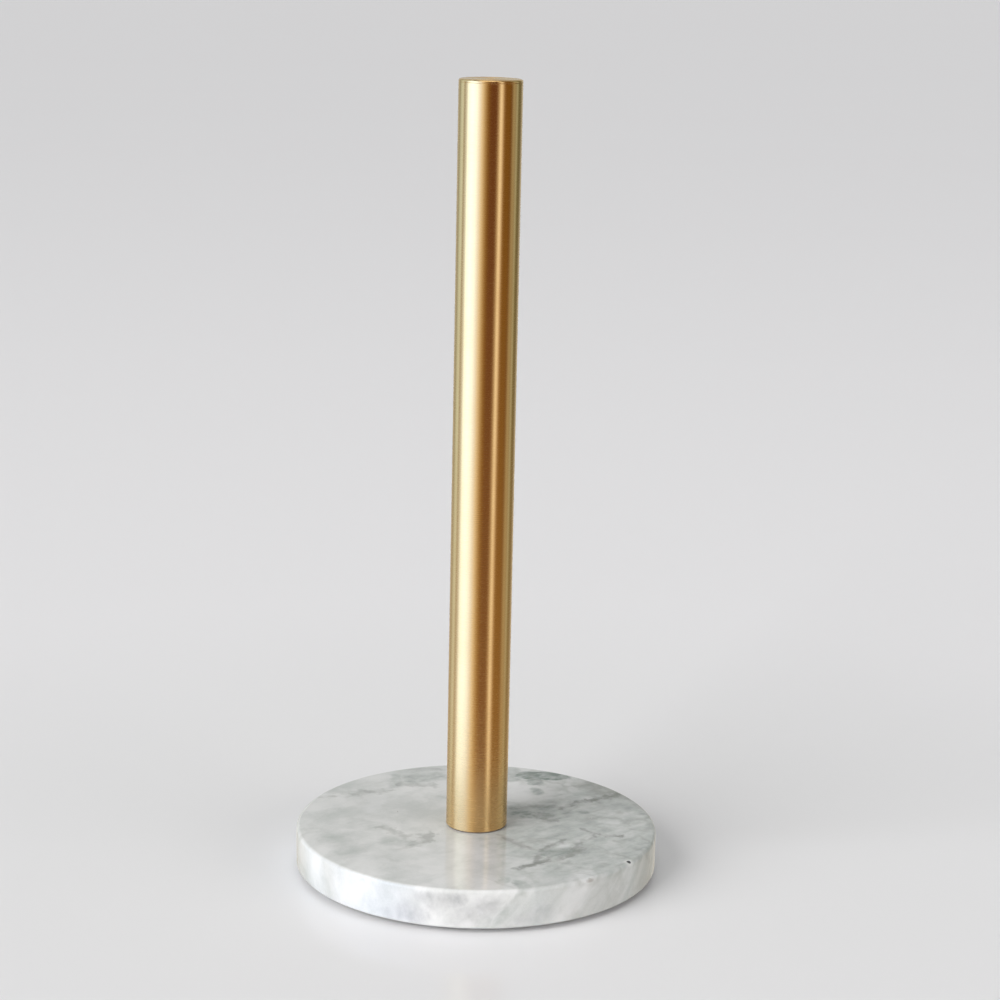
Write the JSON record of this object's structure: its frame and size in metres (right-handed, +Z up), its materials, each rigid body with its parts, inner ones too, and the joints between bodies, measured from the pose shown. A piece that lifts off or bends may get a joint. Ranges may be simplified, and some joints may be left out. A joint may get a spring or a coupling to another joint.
{
  "type": "paper towel holder",
  "caption": "Freestanding paper towel holder: a straight brushed gold post that screws onto a bolt in a round polished marble base on rubber feet.",
  "frame": {"origin": "centre of the base at table level, the plane of the feet's undersides", "axes": "+Z up along the post; +X and +Y in the table plane, with a foot at 45 degrees from +X"},
  "size_m": [0.15, 0.15, 0.326],
  "materials": {
    "marble": "polished",
    "brushed_gold": "satin",
    "zinc_steel": "satin",
    "gasket": "matte",
    "fibre": "matte",
    "foot_rubber": "matte"
  },
  "bodies": {
    "base": {"marble_base": "marble", "clamp_bolt": "zinc_steel", "lock_washer": "zinc_steel", "flat_washer": "zinc_steel", "cushion_washer": "fibre", "rubber_foot_1": "foot_rubber", "rubber_foot_2": "foot_rubber", "rubber_foot_3": "foot_rubber", "rubber_foot_4": "foot_rubber"},
    "gasket": {"foot_gasket": "gasket"},
    "post": {"post_tube": "brushed_gold", "post_cap": "brushed_gold", "threaded_plug": "zinc_steel"}
  },
  "joints": [
    {"name": "post_rise", "type": "slide", "parent": "base", "child": "gasket", "axis": [0, 0, 1], "range_m": [0, 0.0125]},
    {"name": "post_turn", "type": "hinge", "parent": "gasket", "child": "post", "pos_m": [0, 0, 0.0186], "axis": [0, 0, 1], "range_deg": [0, 3600]}
  ],
  "couplings": [
    {"joint": "post_turn", "follows": "post_rise", "rad_per_m": 5026.5}
  ]
}
